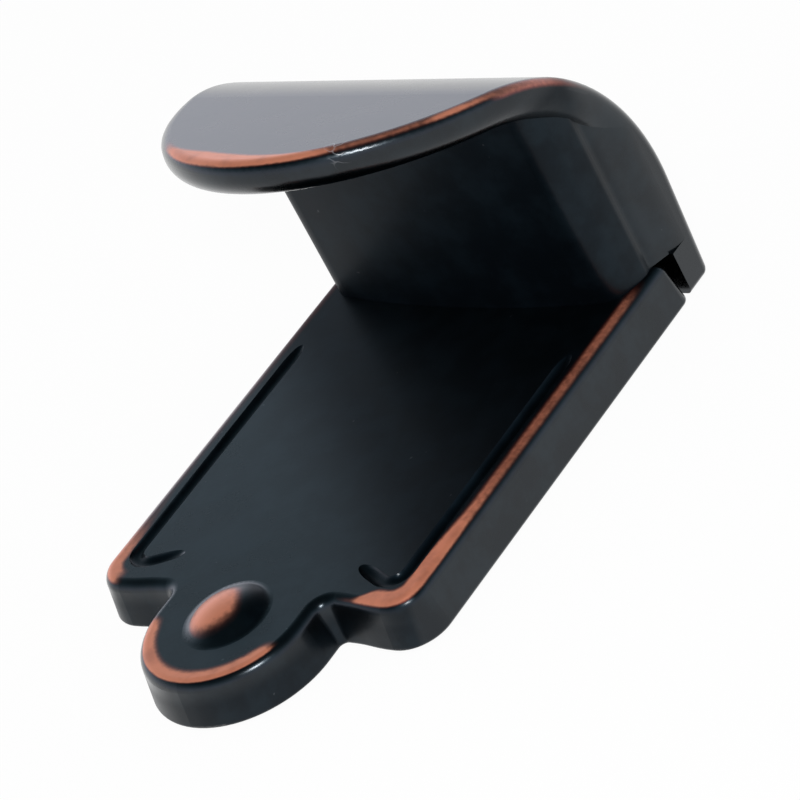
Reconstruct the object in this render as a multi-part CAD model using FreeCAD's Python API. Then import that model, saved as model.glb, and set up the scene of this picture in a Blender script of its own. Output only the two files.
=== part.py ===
import FreeCAD, Part
import math
import os

# Tab pull in two castings: a flat backplate with a round ear, and a tab that
# stands on the plate's far end and curls back over it as a finger lip.
# X runs across the plate, Y from the ear to the tab, Z up from the back face.
# The origin is on the axis of the mounting screw, on the back face.

# Backplate, measured on its back face
plate_width = 35.6
plate_length = 43.0
plate_thickness = 4.3
plate_draft_deg = 9.5
near_corner_radius = 3.6
far_corner_radius = 1.2
cove_depth = 0.4
notch_radius = 0.5
ear_radius = 8.65
ear_setback = 1.6
top_edge_radius = 1.0
back_edge_radius = 0.35

# Groove along each side of the top, curled in at the near corner
groove_width = 1.35
groove_depth = 0.4
groove_to_side = 3.1
groove_to_near_edge = 3.5
groove_curl_radius = 1.5
groove_curl_rise_deg = 24.0
groove_curl_reach = 0.8
groove_end_to_far_edge = 14.9
groove_fade_length = 2.4

# Dome on the ear
dome_radius = 3.65
dome_height = 1.2
dome_blend_radius = 1.2
dome_root = 0.5

# Mounting screw, a number 8 machine screw from behind
screw_to_far_edge = 3.7
screw_hole_radius = 2.2
thread_hole_radius = 1.75
thread_depth = 12.0
thread_mouth_chamfer = 0.3

# Tab: one strip that is skirt, spine, bend and lip
strip_side_inset = 0.2
strip_thickness = 3.3
bend_radius = 18.2
bend_height = 10.85
lip_slope_deg = 16.5
lip_reach = 14.4
lip_front_start = 6.6
skirt_lean_deg = 4.0
skirt_clearance = 0.35
skirt_lift = 0.05
skirt_corner_radius = 0.5
outer_edge_radius = 1.0
inner_edge_radius = 2.1

# Boss between the plate and the lip
boss_front = 3.3
boss_front_radius = 100.0
boss_front_inset = 2.3
boss_corner_radius = 2.8
boss_side_radius = 9.0
ridge_inset = 1.1
ridge_to_far_edge = 2.3
ridge_radius = 0.8
valley_inset = 1.25
valley_to_far_edge = 1.4
valley_radius = 1.0
web_reach = 1.3
web_radius = 5.0

# Reach of the cutting and keeping solids past what they work on
overrun = 5.0

# Distance under which two places count as one
same_place = 0.001

# Places that follow from the sizes above
far_edge = screw_to_far_edge
near_edge = far_edge - plate_length
ear_centre = near_edge - ear_setback
groove_radius = (groove_width ** 2 / 4.0 + groove_depth ** 2) / (2.0 * groove_depth)
fade_radius = (groove_fade_length ** 2 + groove_depth ** 2) / (2.0 * groove_depth)
plate_draft = plate_thickness * math.tan(math.radians(plate_draft_deg))
strip_width = plate_width - 2.0 * strip_side_inset
skirt_lean = math.radians(skirt_lean_deg)
lip_slope = math.radians(lip_slope_deg)
inner_bend_radius = bend_radius - strip_thickness
boss_root_radius = (inner_bend_radius + inner_edge_radius
                    + bend_radius - outer_edge_radius) / 2.0
skirt_drop = bend_height - inner_bend_radius * math.sin(skirt_lean) - skirt_lift
bend_centre = (far_edge + skirt_clearance + skirt_drop * math.tan(skirt_lean)
               - inner_bend_radius * math.cos(skirt_lean))


def point(x, y, z=0.0):
    return FreeCAD.Vector(x, y, z)


def line(start, end):
    return Part.LineSegment(start, end).toShape()


def arc(centre, radius, start_deg, end_deg):
    """Arc about a centre in the plane of the plate."""
    stops = []
    for angle_deg in (start_deg, (start_deg + end_deg) / 2.0, end_deg):
        angle = math.radians(angle_deg)
        step = point(radius * math.cos(angle), radius * math.sin(angle))
        stops.append(centre + step)
    return Part.Arc(stops[0], stops[1], stops[2]).toShape()


def closed(edges):
    return Part.Wire(Part.__sortEdges__(edges))


def mirrored(edges):
    return [edge.mirror(point(0, 0), point(1, 0)) for edge in edges]


def plate_outline(inset, height):
    """Plan of the plate, drawn in by an inset and lifted to a height."""
    half = plate_width / 2.0
    far_centre = point(half - far_corner_radius, far_edge - far_corner_radius)
    near_centre = point(half - near_corner_radius, near_edge + near_corner_radius)
    # The shoulder swells out of the corner and sinks into the cove by the ear
    cove_x = ear_radius + notch_radius
    run = near_centre.x - cove_x
    swing = 2.0 * math.atan(cove_depth / run)
    swing_deg = math.degrees(swing)
    bow = run / math.sin(swing) / 2.0
    lobe_centre = point(near_centre.x, near_edge + bow)
    cove_centre = point(cove_x, near_edge + cove_depth - bow)
    notch_centre = point(cove_x, near_edge + cove_depth - notch_radius)
    ear = point(0, ear_centre)
    side = half - inset
    ear_side = ear_radius - inset
    half_outline = [
        line(point(0, far_edge - inset), point(far_centre.x, far_edge - inset)),
        arc(far_centre, far_corner_radius - inset, 90, 0),
        line(point(side, far_centre.y), point(side, near_centre.y)),
        arc(near_centre, near_corner_radius - inset, 0, -90),
        arc(lobe_centre, bow - inset, -90, -90 - swing_deg),
        arc(cove_centre, bow + inset, 90 - swing_deg, 90),
        arc(notch_centre, notch_radius + inset, 90, 180),
        line(point(ear_side, notch_centre.y), point(ear_side, ear.y)),
        arc(ear, ear_side, 0, -90),
    ]
    outline = closed(half_outline + mirrored(half_outline))
    outline.translate(point(0, 0, height))
    return outline


def fade(start, forward):
    """Arc that leaves a level direction and lifts the groove out of the top."""
    swing = 1.4 * math.asin(groove_fade_length / fade_radius)
    stops = []
    for angle in (0, swing / 2.0, swing):
        along = forward * (fade_radius * math.sin(angle))
        lift = point(0, 0, fade_radius * (1.0 - math.cos(angle)))
        stops.append(start + along + lift)
    return Part.Arc(stops[0], stops[1], stops[2]).toShape()


def groove():
    """Round cutter along one side, with a curl at the near corner."""
    side = plate_width / 2.0 - groove_to_side
    level = plate_thickness + groove_radius - groove_depth
    curl = point(side - groove_curl_radius,
                 near_edge + groove_to_near_edge + groove_curl_radius, level)
    rise = math.radians(groove_curl_rise_deg)
    inward = point(-math.cos(rise), math.sin(rise))
    far = point(side, far_edge - groove_end_to_far_edge, level)
    bottom = curl - point(math.sin(rise), math.cos(rise)) * groove_curl_radius
    run_end = bottom + inward * groove_curl_reach
    backward = point(0, 1)
    path = [fade(far, backward),
            line(far, point(side, curl.y, level)),
            arc(curl, groove_curl_radius, 0, -90 - groove_curl_rise_deg),
            line(bottom, run_end),
            fade(run_end, inward)]
    start = path[0].valueAt(path[0].LastParameter)
    away = path[0].tangentAt(path[0].LastParameter)
    ring = Part.Wire(Part.makeCircle(groove_radius, start, away))
    return closed(path).makePipeShell([ring], True, True)


def dome():
    """Low round head on the ear, a cap of a sphere on a short foot."""
    cap_radius = (dome_radius ** 2 + dome_height ** 2) / (2.0 * dome_height)
    ball = Part.makeSphere(cap_radius)
    ball.translate(point(0, ear_centre, plate_thickness + dome_height - cap_radius))
    foot = Part.makeCylinder(cap_radius, dome_root + dome_height,
                             point(0, ear_centre, plate_thickness - dome_root))
    return ball.common(foot)


def is_level(edge, height):
    box = edge.BoundBox
    return abs(box.ZMin - height) < same_place and abs(box.ZMax - height) < same_place


def backplate():
    body = Part.makeLoft([plate_outline(0, 0),
                          plate_outline(plate_draft, plate_thickness)], True, True)
    rim = [edge for edge in body.Edges if is_level(edge, plate_thickness)]
    body = body.makeFillet(top_edge_radius, rim)
    back = [edge for edge in body.Edges if is_level(edge, 0)]
    body = body.makeFillet(back_edge_radius, back)
    body = body.cut(groove())
    body = body.cut(groove().mirror(point(0, 0), point(1, 0)))
    body = body.fuse(dome())
    foot = [edge for edge in body.Edges
            if is_level(edge, plate_thickness)
            and abs(edge.Length - 2.0 * math.pi * dome_radius) < same_place]
    body = body.makeFillet(dome_blend_radius, foot)
    hole = Part.makeCylinder(screw_hole_radius, plate_thickness + 2.0 * overrun,
                             point(0, 0, -overrun))
    return body.cut(hole)


def strip_path(radius):
    """Line, arc and line at one distance from the centre of the bend, in YZ."""
    centre = point(0, bend_centre, bend_height)

    def at(angle):
        return centre + point(0, radius * math.cos(angle), radius * math.sin(angle))

    bend_end = math.pi / 2.0 - lip_slope
    low = at(-skirt_lean)
    high = at(bend_end)
    fall = low.z - skirt_lift
    foot = point(0, low.y - fall * math.tan(skirt_lean), skirt_lift)
    tip = high + point(0, -math.cos(lip_slope), math.sin(lip_slope)) * (lip_reach + overrun)
    bend = Part.Arc(low, at((bend_end - skirt_lean) / 2.0), high).toShape()
    return foot, tip, [line(foot, low), bend, line(high, tip)]


def lip_frame():
    """Place in the plane of the lip's top where its round front starts."""
    angle = math.pi / 2.0 - lip_slope
    forward = point(0, -math.cos(lip_slope), math.sin(lip_slope))
    normal = point(0, math.sin(lip_slope), math.cos(lip_slope))
    end = point(0, bend_centre + bend_radius * math.cos(angle),
                bend_height + bend_radius * math.sin(angle))
    return end - forward * lip_front_start, forward, normal


def strip_blank():
    outer_foot, outer_tip, outer = strip_path(bend_radius)
    inner_foot, inner_tip, inner = strip_path(inner_bend_radius)
    ends = [line(outer_foot, inner_foot), line(outer_tip, inner_tip)]
    face = Part.Face(closed(outer + inner + ends))
    blank = face.extrude(point(strip_width + 2.0 * overrun, 0, 0))
    blank.translate(point(-strip_width / 2.0 - overrun, 0, 0))
    return blank


def strip_plan():
    """Prism with straight sides and an elliptical front, square to the lip."""
    start, forward, normal = lip_frame()
    half = strip_width / 2.0
    across = point(1, 0, 0)
    front_depth = lip_front_start + lip_reach
    back = bend_radius + bend_height + overrun
    left = start - across * half
    right = start + across * half
    tip = start + forward * front_depth
    if front_depth > half:
        front = Part.Ellipse(tip, right, start)
        curve = Part.ArcOfEllipse(front, -math.pi / 2.0, math.pi / 2.0).toShape()
    else:
        front = Part.Ellipse(right, tip, start)
        curve = Part.ArcOfEllipse(front, 0, math.pi).toShape()
    edges = [curve,
             line(right, right - forward * back),
             line(right - forward * back, left - forward * back),
             line(left - forward * back, left)]
    face = Part.Face(closed(edges))
    depth = 2.0 * (bend_radius + bend_height)
    prism = face.extrude(normal * (-depth - overrun))
    prism.translate(normal * overrun)
    return prism


def depth_in_strip(place):
    """Distance of a place from the centre of the bend, along the strip's normal."""
    offset = place - point(0, bend_centre, bend_height)
    offset.x = 0
    angle = math.atan2(offset.z, offset.y)
    if angle > math.pi / 2.0 - lip_slope:
        return offset.dot(point(0, math.sin(lip_slope), math.cos(lip_slope)))
    if angle < -skirt_lean:
        return offset.dot(point(0, math.cos(skirt_lean), -math.sin(skirt_lean)))
    return offset.Length


def edges_at(solid, radius):
    """Edges that bound the strip's broad face at one radius of the bend."""
    found = []
    for edge in solid.Edges:
        span = edge.LastParameter - edge.FirstParameter
        places = [edge.valueAt(edge.FirstParameter + span * share)
                  for share in (0.1, 0.35, 0.65, 0.9)]
        on_face = all(abs(depth_in_strip(place) - radius) < same_place
                      for place in places)
        is_seam = (edge.BoundBox.YLength < same_place
                   and not is_level(edge, skirt_lift))
        if on_face and not is_seam:
            found.append(edge)
    return found


def strip():
    solid = strip_blank().common(strip_plan()).removeSplitter()
    corners = [edge for edge in solid.Edges
               if is_level(edge, skirt_lift) and edge.BoundBox.XLength < same_place]
    solid = solid.makeFillet(skirt_corner_radius, corners)
    solid = solid.makeFillet(outer_edge_radius, edges_at(solid, bend_radius))
    return solid.makeFillet(inner_edge_radius, edges_at(solid, inner_bend_radius))


def boss_corners():
    """Corners of the boss and its web in plan on one side, before they are rounded."""
    side = strip_width / 2.0
    front_x = side - boss_front_inset
    bow = boss_front_radius - math.sqrt(boss_front_radius ** 2 - front_x ** 2)
    corner = point(front_x, bow - boss_front)
    ridge = point(side - ridge_inset, far_edge - ridge_to_far_edge)
    valley = point(side - valley_inset, far_edge - valley_to_far_edge)
    web = point(side, far_edge + web_reach)
    return corner, ridge, valley, web


def boss_outline():
    """Plan of the boss: bowed front and sides, a shallow valley, then the web."""
    corner, ridge, valley, web = boss_corners()
    front = Part.Arc(point(-corner.x, corner.y), point(0, -boss_front), corner)
    chord = ridge - corner
    half_chord = chord.Length / 2.0
    bulge = boss_side_radius - math.sqrt(boss_side_radius ** 2 - half_chord ** 2)
    outward = point(chord.y, -chord.x).normalize()
    middle = corner + chord * 0.5 + outward * bulge
    back = point(strip_width / 2.0, bend_centre + bend_radius)
    side = [Part.Arc(corner, middle, ridge).toShape(),
            line(ridge, valley),
            line(valley, web),
            line(web, back),
            line(back, point(0, back.y))]
    return closed([front.toShape()] + side + mirrored(side))


def upright_edges(solid, place):
    """Edges of a prism that stand over a place in plan or over its mirror image."""
    return [edge for edge in solid.Edges
            if edge.BoundBox.DiagonalLength - edge.BoundBox.ZLength < same_place
            and abs(abs(edge.BoundBox.XMin) - place.x) < same_place
            and abs(edge.BoundBox.YMin - place.y) < same_place]


def under_strip():
    """Everything inside a curved surface between the strip's two edge roundings."""
    foot, tip, path = strip_path(boss_root_radius)
    low_front = point(0, tip.y, foot.z)
    face = Part.Face(closed(path + [line(tip, low_front), line(low_front, foot)]))
    region = face.extrude(point(strip_width + 2.0 * overrun, 0, 0))
    region.translate(point(-strip_width / 2.0 - overrun, 0, 0))
    return region


def boss():
    face = Part.Face(boss_outline())
    post = face.extrude(point(0, 0, bend_height + bend_radius))
    post.translate(point(0, 0, plate_thickness))
    corner, ridge, valley, web = boss_corners()
    post = post.makeFillet(boss_corner_radius, upright_edges(post, corner))
    post = post.makeFillet(ridge_radius, upright_edges(post, ridge))
    post = post.makeFillet(valley_radius, upright_edges(post, valley))
    post = post.makeFillet(web_radius, upright_edges(post, web))
    return post.common(under_strip())


def skirt_fill():
    """Square inner side of the skirt, from its foot up to the boss."""
    front = far_edge + skirt_clearance
    block = Part.makeBox(strip_width, bend_centre + bend_radius - front,
                         plate_thickness - skirt_lift,
                         point(-strip_width / 2.0, front, skirt_lift))
    corners = [edge for edge in block.Edges
               if is_level(edge, skirt_lift) and edge.BoundBox.XLength < same_place]
    return block.makeFillet(skirt_corner_radius, corners).common(under_strip())


def thread_hole():
    seat = point(0, 0, plate_thickness)
    hole = Part.makeCylinder(thread_hole_radius, thread_depth, seat)
    mouth = Part.makeCone(thread_hole_radius + thread_mouth_chamfer, thread_hole_radius,
                          thread_mouth_chamfer, seat)
    return hole.fuse(mouth)


def tab():
    body = strip().fuse([boss(), skirt_fill()]).removeSplitter()
    return body.cut(thread_hole())


os.makedirs("parts", exist_ok=True)
for name, shape in (("backplate", backplate()), ("tab", tab())):
    if len(shape.Solids) != 1 or not shape.isValid():
        raise ValueError(name + " is not one valid solid")
    shape.Solids[0].exportStep("parts/" + name + ".step")
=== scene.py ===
import math

import bpy
from mathutils import Matrix, Vector

bl_info = {
    "name": "Tab pull",
    "version": (1, 0, 0),
    "blender": (4, 5, 0),
    "location": "View3D > Sidebar > Tab pull",
    "description": "Finish, wear, stage and view of a cast tab pull",
    "category": "Object",
}

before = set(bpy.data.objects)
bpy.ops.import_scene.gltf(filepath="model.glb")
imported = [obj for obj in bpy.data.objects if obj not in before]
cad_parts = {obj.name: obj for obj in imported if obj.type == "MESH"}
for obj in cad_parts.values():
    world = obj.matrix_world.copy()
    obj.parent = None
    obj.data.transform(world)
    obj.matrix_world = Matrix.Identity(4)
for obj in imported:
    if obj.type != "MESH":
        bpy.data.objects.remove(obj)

MM = 0.001

# Forms of the castings that the wear follows, in millimetres in the part's own frame
EAR_CENTRE_Y = -40.9
CORNER_CENTRE_X, CORNER_CENTRE_Y = 14.2, -35.7
LIP_SLOPE = math.radians(16.5)
LIP_START_Y, LIP_START_Z = 1.37, 26.4
LIP_HALF_WIDTH = 17.6
LIP_FRONT_DEPTH = 21.0
BEND_CENTRE_Y, BEND_CENTRE_Z = -10.13, 10.85
BEND_TOP_Y = -4.9

# Sizes of the lacquer's patterns, in repeats per metre
CLOUDS, WANDER, FINE, GRAIN, DUST, SCRATCHES = 260.0, 420.0, 2100.0, 3200.0, 1300.0, 1100.0

# Colours and strengths of the small marks
DUST_COLOUR, DUST_SHARE = (0.16, 0.17, 0.18), 0.3
SCRATCH_COLOUR, SCRATCH_SHARE = (0.6, 0.6, 0.62), 0.5

# The lacquer's clear top coat, and the bump under it
PLATE_SHEEN, TAB_SHEEN = 0.7, 0.75
COAT_ROUGHNESS = 0.22
BUMP_STRENGTH, BUMP_DEPTH = 0.1, 0.04 * MM

# How much shade is painted on each place, from 0 to 1, by taking off the coat and roughening
UNDER_LIP_PAINTED_SHADE, NEAR_WALL_PAINTED_SHADE, GROOVE_PAINTED_SHADE, BEHIND_DOME_PAINTED_SHADE = 0.95, 0.6, 0.75, 0.85
POST_PAINTED_SHADE, POST_FRONT_PAINTED_SHADE = 0.8, 0.2

# The stage, in metres
FLOOR_WIDTH = 4.0
FLOOR_DROP = 0.0002
LAMP_PLACE, LAMP_AIM, LAMP_WIDTH = (0.30, -0.28, 0.31), (0, -0.02, 0.01), 0.08
NEAREST_SEEN = 0.01

# The horizon and the ceiling as reflections show them
HORIZON_COLOUR, CEILING_COLOUR = (0.87, 0.89, 1.0), (0.45, 0.82, 1.0)

# Socket numbers of a Mix node that blends colours
MIX_SHARE, MIX_FIRST, MIX_SECOND, MIX_RESULT = 0, 6, 7, 2


class Socket:
    """A socket of a node tree, with Python's operators as Math nodes."""

    def __init__(self, finish, source):
        self.finish = finish
        self.source = source

    def maths(self, operation, *values):
        return self.finish.node("ShaderNodeMath", {"operation": operation},
                                dict(enumerate(values)))

    def __add__(self, other):
        return self.maths("ADD", self, other)

    def __radd__(self, other):
        return self.maths("ADD", other, self)

    def __sub__(self, other):
        return self.maths("SUBTRACT", self, other)

    def __rsub__(self, other):
        return self.maths("SUBTRACT", other, self)

    def __mul__(self, other):
        return self.maths("MULTIPLY", self, other)

    def __rmul__(self, other):
        return self.maths("MULTIPLY", other, self)

    def __truediv__(self, other):
        return self.maths("DIVIDE", self, other)

    def __neg__(self):
        return self.maths("MULTIPLY", self, -1.0)

    def __abs__(self):
        return self.maths("ABSOLUTE", self)

    def root(self):
        return self.maths("SQRT", self)

    def most(self, other):
        return self.maths("MAXIMUM", self, other)

    def step(self, low, high):
        """0 below low, 1 above high, and a smooth rise between."""
        return self.finish.node("ShaderNodeMapRange", {"interpolation_type": "SMOOTHSTEP"},
                                {"Value": self, "From Min": low, "From Max": high},
                                output="Result")

    def band(self, centre, half_width):
        """1 at the centre, falling smoothly to 0 at the half width."""
        return 1.0 - abs(self - centre).step(0.0, half_width)


class Finish:
    """The node tree of a material or world, and the few things it is built from."""

    def __init__(self, owner):
        owner.use_nodes = True
        self.owner = owner
        self.tree = owner.node_tree
        self.tree.nodes.clear()

    def feed(self, slot, value):
        """Link a socket into a slot, or give the slot a number or a colour."""
        if isinstance(value, Socket):
            self.tree.links.new(value.source, slot)
        elif hasattr(value, "__len__"):
            slot.default_value = (*value, 1.0)[:len(slot.default_value)]
        else:
            slot.default_value = value

    def node(self, kind, settings=None, sockets=None, output=0):
        """Add a node: its settings first, then the values or links of its sockets."""
        made = self.tree.nodes.new(kind)
        for name, value in (settings or {}).items():
            setattr(made, name, value)
        for key, value in (sockets or {}).items():
            self.feed(made.inputs[key], value)
        return Socket(self, made.outputs[output]) if made.outputs else None

    def place(self):
        return self.node("ShaderNodeTexCoord", output="Object")

    def facing(self):
        return self.node("ShaderNodeTexCoord", output="Normal")

    def split(self, vector):
        first = self.node("ShaderNodeSeparateXYZ", sockets={"Vector": vector})
        return [Socket(self, part) for part in first.source.node.outputs]

    def millimetres(self, place):
        """x, y and z of a place, in millimetres."""
        return [part / MM for part in self.split(place)]

    def noise(self, place, scale, detail=3.0, roughness=0.55):
        return self.node("ShaderNodeTexNoise", sockets={
            "Vector": place, "Scale": scale, "Detail": detail, "Roughness": roughness})

    def mix(self, share, first, second):
        """A blend of two colours."""
        return self.node("ShaderNodeMix", {"data_type": "RGBA"},
                         {MIX_SHARE: share, MIX_FIRST: first, MIX_SECOND: second},
                         output=MIX_RESULT)

    def blend(self, share, first, second):
        """A blend of two shaders."""
        return self.node("ShaderNodeMixShader", sockets={0: share, 1: first, 2: second})


def distance(across, along):
    """Length of a step given in two perpendicular parts."""
    return (across * across + along * along).root()


class TabPullFinish(bpy.types.PropertyGroup):
    lacquer: bpy.props.FloatVectorProperty(
        name="Lacquer", description="Colour of the dark bronze lacquer",
        default=(0.005, 0.009, 0.013), size=3, min=0.0, max=1.0, subtype="COLOR")
    bloom: bpy.props.FloatVectorProperty(
        name="Bloom", description="Colour of the lighter, cooler clouds in the lacquer",
        default=(0.009, 0.016, 0.022), size=3, min=0.0, max=1.0, subtype="COLOR")
    copper: bpy.props.FloatVectorProperty(
        name="Copper", description="Colour of the bare metal on the rubbed edges",
        default=(0.86, 0.3, 0.175), size=3, min=0.0, max=1.0, subtype="COLOR")
    deep_copper: bpy.props.FloatVectorProperty(
        name="Deep copper", description="Colour of the half-rubbed metal under thin lacquer",
        default=(0.16, 0.04, 0.03), size=3, min=0.0, max=1.0, subtype="COLOR")
    roughness: bpy.props.FloatProperty(
        name="Roughness", description="Roughness of the lacquer",
        default=0.28, min=0.0, max=1.0, subtype="FACTOR")
    wear: bpy.props.FloatProperty(
        name="Wear", description="How far the edges are rubbed through",
        default=1.0, min=0.0, max=2.0, subtype="FACTOR")


class TabPullStage(bpy.types.PropertyGroup):
    floor: bpy.props.FloatVectorProperty(
        name="Floor", description="Colour of the floor",
        default=(0.92, 0.925, 0.93), size=3, min=0.0, max=1.0, subtype="COLOR")
    whiteness: bpy.props.FloatProperty(
        name="Whiteness", description="Share of plain white in the floor as the camera sees it",
        default=0.95, min=0.0, max=1.0, subtype="FACTOR")
    room: bpy.props.FloatProperty(
        name="Room light", description="Strength of the even light from all round",
        default=0.55, min=0.0, max=5.0)
    horizon: bpy.props.FloatProperty(
        name="Horizon", description="Strength of the horizon as the metal reflects it",
        default=1.15, min=0.0, max=5.0)
    ceiling: bpy.props.FloatProperty(
        name="Ceiling", description="Strength of the ceiling as the metal reflects it",
        default=0.1, min=0.0, max=1.0, subtype="FACTOR")
    lamp: bpy.props.FloatProperty(
        name="Key lamp", description="Power of the lamp that stands near the camera's side",
        default=1.3, min=0.0, unit="POWER")
    azimuth: bpy.props.FloatProperty(
        name="Azimuth", description="Direction of the view, from the ear's side round to +X",
        default=math.radians(50.001), subtype="ANGLE", unit="ROTATION")
    elevation: bpy.props.FloatProperty(
        name="Elevation", description="Height of the view over the plate",
        default=math.radians(31.025), subtype="ANGLE", unit="ROTATION")
    roll: bpy.props.FloatProperty(
        name="Roll", description="Turn of the picture about the line of sight",
        default=math.radians(-28.957), subtype="ANGLE", unit="ROTATION")
    reach: bpy.props.FloatProperty(
        name="Distance", description="Distance from the camera to the part's middle",
        default=0.35966, min=0.05, unit="LENGTH", subtype="DISTANCE")
    aim: bpy.props.FloatVectorProperty(
        name="Aim", description="Point that the camera looks at",
        default=(0.006282, -0.019734, 0.008717), size=3, unit="LENGTH", subtype="XYZ")
    lens: bpy.props.FloatProperty(
        name="Lens", description="Focal length of the camera",
        default=200.923, min=10.0, unit="CAMERA")


def patina(finish, sizes, place, rubbed, painted_shade, sheen, scratched=0.0):
    """Dark glossy lacquer, rubbed to copper on the edges; where shade is painted, its coat is
    taken off and it is roughened.
    """
    clouds = finish.noise(place, CLOUDS, detail=4.0, roughness=0.6)
    wander = finish.noise(place, WANDER)
    fine = finish.noise(place, FINE, detail=2.0)
    grain = finish.noise(place, GRAIN, detail=2.0)
    dust = finish.noise(place, DUST, detail=1.0).step(0.78, 0.83) * DUST_SHARE

    # The wear's edge is ragged: first thin lacquer, then bare copper
    worn = rubbed * (1.0 + (wander - 0.5) * 0.55 + (fine - 0.5) * 0.45)
    thin = worn.step(0.06, 0.42)
    bare = worn.step(0.25, 0.85)

    colour = finish.mix(clouds.step(0.38, 0.66), sizes.lacquer, sizes.bloom)
    colour = finish.mix(dust, colour, DUST_COLOUR)
    colour = finish.mix(thin, colour, sizes.deep_copper)
    metal = finish.mix(wander.step(0.4, 0.75) * 0.3, sizes.copper, sizes.deep_copper)
    colour = finish.mix(bare, colour, metal)
    colour = finish.mix(scratched, colour, SCRATCH_COLOUR)

    height = grain * 0.6 + clouds * 0.5
    bump = finish.node("ShaderNodeBump", sockets={
        "Strength": BUMP_STRENGTH, "Distance": BUMP_DEPTH, "Height": height})
    # Where shade is painted, the coat is taken off and the lacquer roughened, which darkens it
    shader = finish.node("ShaderNodeBsdfPrincipled", sockets={
        "Base Color": colour,
        "Metallic": 1.0 - (bare * 0.5).most(scratched),
        "Roughness": sizes.roughness + (clouds - 0.5) * 0.08 + bare * 0.05 + painted_shade * 0.27,
        "Normal": bump,
        "Coat Weight": sheen * (1.0 - bare * 0.85) * (1.0 - painted_shade * 0.93),
        "Coat Roughness": COAT_ROUGHNESS})
    finish.node("ShaderNodeOutputMaterial", sockets={"Surface": shader})


def assign(piece, material):
    for index in range(len(piece.data.materials)):
        piece.data.materials[index] = material


class TABPULL_OT_plate_finish(bpy.types.Operator):
    """Lacquer the backplate, rub its edges, corners, ear and dome, and paint shade where it
    lies in shade
    """
    bl_idname = "tabpull.plate_finish"
    bl_label = "Finish the backplate"

    def execute(self, context):
        sizes = context.scene.tab_pull_finish
        finish = Finish(bpy.data.materials.new("plate_bronze"))
        place = finish.place()
        x, y, z = finish.millimetres(place)
        facing_up = finish.split(finish.facing())[2]
        from_ear = distance(x, y - EAR_CENTRE_Y)
        behind_dome = (0.8 * x + 0.6 * (y - EAR_CENTRE_Y)).step(0.7, 2.6)

        border = self.border_wear(x, y, z, facing_up)
        ear = self.ear_wear(x, y, z, facing_up, from_ear)
        dome = self.dome_wear(x, y, z) * (1.0 - behind_dome)
        rubbed = border.most(ear).most(dome) * sizes.wear
        # Painted shade under the lip, low on the near wall, in the grooves and behind the dome
        painted_shade = self.shade_to_paint(x, y, z, from_ear, behind_dome)
        patina(finish, sizes, place, rubbed, painted_shade, PLATE_SHEEN)
        assign(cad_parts["backplate"], finish.owner)
        return {"FINISHED"}

    def border_wear(self, x, y, z, facing_up):
        """Sides and near corners, rubbed between the groove and the top's rounding."""
        on_top = facing_up.step(0.6, 0.93) * z.step(3.7, 3.9)
        past_centre_x = (abs(x) - CORNER_CENTRE_X).most(0.0)
        past_centre_y = (CORNER_CENTRE_Y - y).most(0.0)
        outward = distance(past_centre_x, past_centre_y)
        towards_tab = y.step(-34.0, -26.0)
        near_ear = 1.0 - abs(x).step(10.8, 13.4)
        inner_edge = 0.65 + 0.55 * towards_tab + 1.2 * near_ear
        right = x.step(8.4, 10.6) * (1.0 - 0.4 * y.step(-34.0, -22.0))
        right = right * (1.0 - y.step(-2.5, 2.0))
        left = (1.0 - x.step(-15.4, -13.4)) * (0.85 - 0.62 * y.step(-37.0, -29.0))
        return (outward - inner_edge).step(0.0, 0.9) * right.most(left) * on_top

    def ear_wear(self, x, y, z, facing_up, from_ear):
        """A band along the rim of the ear's flat."""
        on_top = facing_up.step(0.78, 0.96) * z.step(3.9, 4.1)
        near_end = 1.0 - (y + 0.12 * x).step(-43.9, -41.9)
        return from_ear.step(5.8, 7.0) * near_end * on_top

    def dome_wear(self, x, y, z):
        """The dome, rubbed a little to the left of its top."""
        from_spot = distance(x + 0.9, y - EAR_CENTRE_Y + 0.1)
        return (1.0 - from_spot.step(1.3, 3.7)) * z.step(4.35, 4.7) * 0.95

    def shade_to_paint(self, x, y, z, from_ear, behind_dome):
        """Where shade is painted: under the lip, low on the near end's wall, in the grooves and
        behind the dome.
        """
        under_lip = (0.64 * x + 0.77 * y + 12.4).step(-13.0, -1.0)
        near_wall = (1.0 - z.step(2.0, 3.6)) * (1.0 - y.step(-38.0, -34.0))
        off_side = 1.0 - x.step(16.2, 16.8)
        groove = (1.0 - z.step(4.1, 4.27)) * z.step(3.7, 3.85)
        groove = groove * (1.0 - abs(x).step(15.3, 15.6)) * y.step(-37.4, -37.0)
        dome_foot = behind_dome * z.step(4.32, 4.45) * (1.0 - from_ear.step(3.7, 4.3))
        painted_shade = (under_lip * UNDER_LIP_PAINTED_SHADE).most(near_wall * NEAR_WALL_PAINTED_SHADE) * off_side
        return painted_shade.most(groove * GROOVE_PAINTED_SHADE).most(dome_foot * BEHIND_DOME_PAINTED_SHADE)


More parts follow.
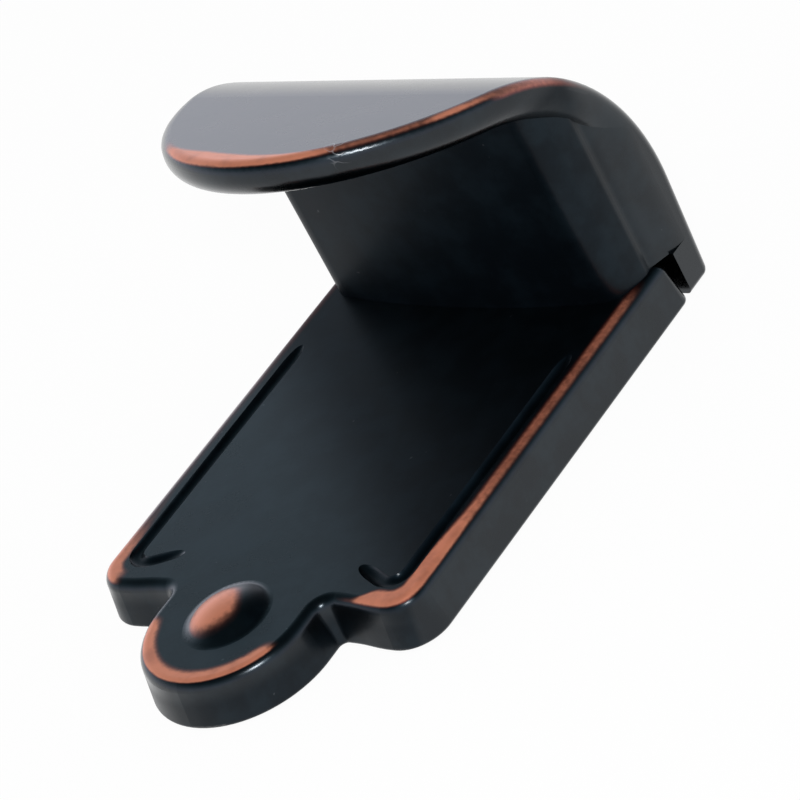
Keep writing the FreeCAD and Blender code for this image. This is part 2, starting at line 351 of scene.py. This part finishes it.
class TABPULL_OT_tab_finish(bpy.types.Operator):
    """Lacquer the tab, rub the upper edge of its lip and bend, and paint shade on its post"""
    bl_idname = "tabpull.tab_finish"
    bl_label = "Finish the tab"

    def execute(self, context):
        sizes = context.scene.tab_pull_finish
        finish = Finish(bpy.data.materials.new("tab_bronze"))
        place = finish.place()
        x, y, z = finish.millimetres(place)
        facing_back, facing_up = finish.split(finish.facing())[1:]

        rubbed = self.rim(x, y, z, facing_back, facing_up) * self.rubbing(x, y) * sizes.wear
        # Painted shade on the post and under the lip
        painted_shade = self.shade_to_paint(x, y, z, facing_back)
        scratched = self.scratches(finish, place, x, y, z)
        patina(finish, sizes, place, rubbed, painted_shade, TAB_SHEEN, scratched)
        assign(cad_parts["tab"], finish.owner)
        return {"FINISHED"}

    def rim(self, x, y, z, facing_back, facing_up):
        """The upper side's outer edge, along the lip's slope and then round the bend."""
        slope_up, slope_along = math.cos(LIP_SLOPE), math.sin(LIP_SLOPE)
        on_lip = (facing_up * slope_up + facing_back * slope_along).step(0.45, 0.82)
        from_bend = distance(y - BEND_CENTRE_Y, z - BEND_CENTRE_Z)
        on_bend = from_bend.step(17.2, 17.8)
        bending = y.step(BEND_TOP_Y - 1.0, BEND_TOP_Y + 1.0)
        upper = on_lip + bending * (on_bend - on_lip)

        # 1 at the strip's side and at the lip's elliptical front
        forward = (LIP_START_Y - y) * slope_up + (z - LIP_START_Z) * slope_along
        outward = distance(x / LIP_HALF_WIDTH, forward.most(0.0) / LIP_FRONT_DEPTH)
        right, left = x.step(-2.0, 8.0), 1.0 - x.step(-9.0, -3.0)
        inner_edge = 0.878 + 0.055 * right + 0.055 * left
        return (outward - inner_edge).step(0.0, 0.045) * upper

    def rubbing(self, x, y):
        """How far each stretch of the edge is rubbed."""
        front = (1.0 - x.step(6.5, 12.0)) * x.step(-11.5, -7.0)
        side = x.step(12.0, 15.0) * (0.88 - 0.4 * y.step(-9.0, -3.0))
        side = side * (1.0 - y.step(-1.0, 6.0))
        thin_line = x.step(4.0, 9.0) * (1.0 - y.step(-8.0, -5.0)) * 0.58
        return front.most(side).most(thin_line)

    def shade_to_paint(self, x, y, z, facing_back):
        """Painted shade on the post and the lip's underside, more of it on the post's front."""
        under_lip = (1.0 - z.step(24.0, 26.0)) * (1.0 - y.step(1.0, 3.5))
        post_front = (-facing_back).step(0.7, 0.98) * (1.0 - x.step(9.0, 15.0))
        return under_lip * (POST_PAINTED_SHADE + POST_FRONT_PAINTED_SHADE * post_front)

    def scratches(self, finish, place, x, y, z):
        """A few fine scratches on the lip's front rim."""
        spot = (1.0 - distance(x - 8.9, y + 15.2).step(0.4, 1.3)) * z.step(29.6, 30.4)
        lines = finish.noise(place, SCRATCHES, detail=0.5).band(0.5, 0.035)
        return lines * spot * SCRATCH_SHARE


class TABPULL_OT_stage(bpy.types.Operator):
    """Lay the floor, hang the lamp and set the view"""
    bl_idname = "tabpull.stage"
    bl_label = "Set the stage"

    def execute(self, context):
        scene = context.scene
        sizes = scene.tab_pull_stage
        scene.view_settings.view_transform = "Standard"
        self.lay_floor(sizes)
        self.light_room(scene, sizes)
        self.hang_lamp(scene, sizes)
        self.set_camera(scene, sizes)
        return {"FINISHED"}

    def lay_floor(self, sizes):
        bpy.ops.mesh.primitive_plane_add(size=FLOOR_WIDTH, location=(0, 0, 0))
        floor = bpy.context.object
        floor.name = "floor"
        floor.data.transform(Matrix.Translation((0, 0, -FLOOR_DROP)))
        finish = Finish(bpy.data.materials.new("floor_paper"))
        paper = finish.node("ShaderNodeBsdfDiffuse", sockets={"Color": sizes.floor})
        white = finish.node("ShaderNodeEmission", sockets={"Color": (1, 1, 1), "Strength": 1.0})
        share = self.seen_or_mirrored(finish) * sizes.whiteness
        surface = finish.blend(share, paper, white)
        finish.node("ShaderNodeOutputMaterial", sockets={"Surface": surface})
        floor.data.materials.append(finish.owner)

    def seen_or_mirrored(self, finish):
        """1 for what the camera sees straight, in a mirror or through glass."""
        seen = finish.node("ShaderNodeLightPath", output="Is Camera Ray")
        mirrored = finish.node("ShaderNodeLightPath", output="Is Glossy Ray")
        through = finish.node("ShaderNodeLightPath", output="Is Transmission Ray")
        return seen.most(mirrored).most(through)

    def light_room(self, scene, sizes):
        scene.world = bpy.data.worlds.new("room")
        finish = Finish(scene.world)
        even = finish.node("ShaderNodeBackground",
                           sockets={"Color": (1, 1, 1), "Strength": sizes.room})
        # Reflections show a bright horizon under a dimmer ceiling
        height = finish.split(finish.node("ShaderNodeTexCoord", output="Generated"))[2]
        fall = height.step(0.08, 0.85)
        strength = sizes.horizon - fall * (sizes.horizon - sizes.ceiling)
        tint = finish.mix(fall, HORIZON_COLOUR, CEILING_COLOUR)
        graded = finish.node("ShaderNodeBackground",
                             sockets={"Color": tint, "Strength": strength})
        surface = finish.blend(self.seen_or_mirrored(finish), even, graded)
        finish.node("ShaderNodeOutputWorld", sockets={"Surface": surface})

    def hang_lamp(self, scene, sizes):
        data = bpy.data.lights.new("key_lamp", "AREA")
        data.size = LAMP_WIDTH
        data.energy = sizes.lamp
        lamp = bpy.data.objects.new("key_lamp", data)
        scene.collection.objects.link(lamp)
        lamp.location = LAMP_PLACE
        beam = Vector(LAMP_AIM) - Vector(LAMP_PLACE)
        lamp.rotation_euler = beam.to_track_quat("-Z", "Y").to_euler()

    def set_camera(self, scene, sizes):
        across = Vector((math.cos(sizes.azimuth), math.sin(sizes.azimuth), 0))
        back = Vector((math.sin(sizes.azimuth) * math.cos(sizes.elevation),
                       -math.cos(sizes.azimuth) * math.cos(sizes.elevation),
                       math.sin(sizes.elevation)))
        upward = back.cross(across)
        right = across * math.cos(sizes.roll) + upward * math.sin(sizes.roll)
        up = upward * math.cos(sizes.roll) - across * math.sin(sizes.roll)
        data = bpy.data.cameras.new("camera")
        data.lens = sizes.lens
        data.clip_start = NEAREST_SEEN
        camera = bpy.data.objects.new("camera", data)
        scene.collection.objects.link(camera)
        turned = Matrix((right, up, back)).transposed().to_4x4()
        place = Vector(sizes.aim) + back * sizes.reach
        camera.matrix_world = Matrix.Translation(place) @ turned
        scene.camera = camera


class TABPULL_PT_sidebar(bpy.types.Panel):
    bl_idname = "TABPULL_PT_sidebar"
    bl_label = "Tab pull"
    bl_space_type = "VIEW_3D"
    bl_region_type = "UI"
    bl_category = "Tab pull"

    def draw(self, context):
        for kind in OPERATORS:
            self.layout.operator(kind.bl_idname)
        for group in (context.scene.tab_pull_finish, context.scene.tab_pull_stage):
            for name in type(group).__annotations__:
                self.layout.prop(group, name)


OPERATORS = (TABPULL_OT_plate_finish, TABPULL_OT_tab_finish, TABPULL_OT_stage)
CLASSES = (TabPullFinish, TabPullStage) + OPERATORS + (TABPULL_PT_sidebar,)


def register():
    for kind in CLASSES:
        bpy.utils.register_class(kind)
    bpy.types.Scene.tab_pull_finish = bpy.props.PointerProperty(type=TabPullFinish)
    bpy.types.Scene.tab_pull_stage = bpy.props.PointerProperty(type=TabPullStage)


def unregister():
    del bpy.types.Scene.tab_pull_stage
    del bpy.types.Scene.tab_pull_finish
    for kind in reversed(CLASSES):
        bpy.utils.unregister_class(kind)


def main():
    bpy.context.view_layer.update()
    register()
    bpy.ops.tabpull.plate_finish()
    bpy.ops.tabpull.tab_finish()
    bpy.ops.tabpull.stage()


if __name__ == "__main__":
    main()
